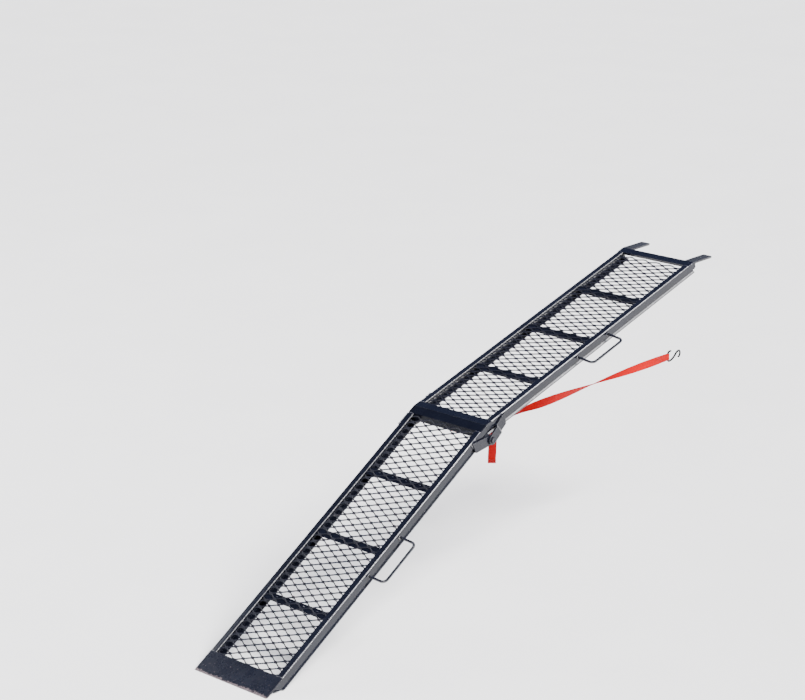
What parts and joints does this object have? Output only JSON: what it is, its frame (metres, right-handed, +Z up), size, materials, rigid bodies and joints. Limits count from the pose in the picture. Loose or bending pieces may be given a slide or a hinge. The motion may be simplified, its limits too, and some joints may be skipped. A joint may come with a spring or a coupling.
{
  "type": "folding loading ramp",
  "caption": "Narrow two-panel folding steel ramp with an expanded-metal deck, channel rails, a hinge rod under the fold, tailgate fingers, lift handles and a webbing safety strap.",
  "frame": {"origin": "middle of the tailgate's edge, level with the undersides of the two tailgate fingers", "axes": "+Z up, +Y from the toe towards the vehicle, +X to the side that has the lift handles"},
  "size_m": [0.3565, 2.0908, 0.833],
  "materials": {
    "black_paint": "gloss black enamel, scuffed on the edges",
    "grid_paint": "satin black enamel over expanded metal",
    "worn_steel": "dark steel, paint scraped off along the front edge",
    "red_webbing": "woven polyester webbing",
    "black_steel": "black coated steel"
  },
  "bodies": {
    "upper_panel": {"upper_rail_right": "black_paint", "upper_rail_left": "black_paint", "upper_hinge_plate_right": "black_paint", "upper_hinge_plate_left": "black_paint", "tailgate_finger_right": "black_paint", "tailgate_finger_left": "black_paint", "upper_cross_member_1": "black_paint", "upper_cross_member_2": "black_paint", "upper_cross_member_3": "black_paint", "upper_fold_bar": "black_paint", "top_end_bar": "black_paint", "upper_grid": "grid_paint", "upper_handle": "black_paint", "hinge_rod": "black_paint"},
    "lower_panel": {"lower_rail_right": "black_paint", "lower_rail_left": "black_paint", "lower_hinge_plate_right": "black_paint", "lower_hinge_plate_left": "black_paint", "lower_cross_member_1": "black_paint", "lower_cross_member_2": "black_paint", "lower_cross_member_3": "black_paint", "lower_fold_bar": "black_paint", "toe_plate": "worn_steel", "lower_grid": "grid_paint", "lower_handle": "black_paint"},
    "strap": {"strap_loop": "red_webbing", "strap_buckle": "black_steel", "strap_run": "red_webbing", "strap_hook": "black_steel"},
    "strap_end": {"strap_tail": "red_webbing"}
  },
  "joints": [
    {"name": "fold", "type": "hinge", "parent": "upper_panel", "child": "lower_panel", "pos_m": [0, -1.01975, -0.32875], "axis": [1, 0, 0], "range_deg": [0, 164.9]},
    {"name": "strap_swing", "type": "hinge", "parent": "upper_panel", "child": "strap", "pos_m": [0, -1.01975, -0.32875], "axis": [1, 0, 0], "range_deg": [0, 17.6]},
    {"name": "tail_swing", "type": "hinge", "parent": "strap", "child": "strap_end", "pos_m": [0, -0.84075, -0.35405], "axis": [1, 0, 0], "range_deg": [0, 89]}
  ],
  "couplings": [
    {"joint": "strap_swing", "follows": "fold", "ratio": 0.1067},
    {"joint": "tail_swing", "follows": "fold", "ratio": 0.5397}
  ]
}
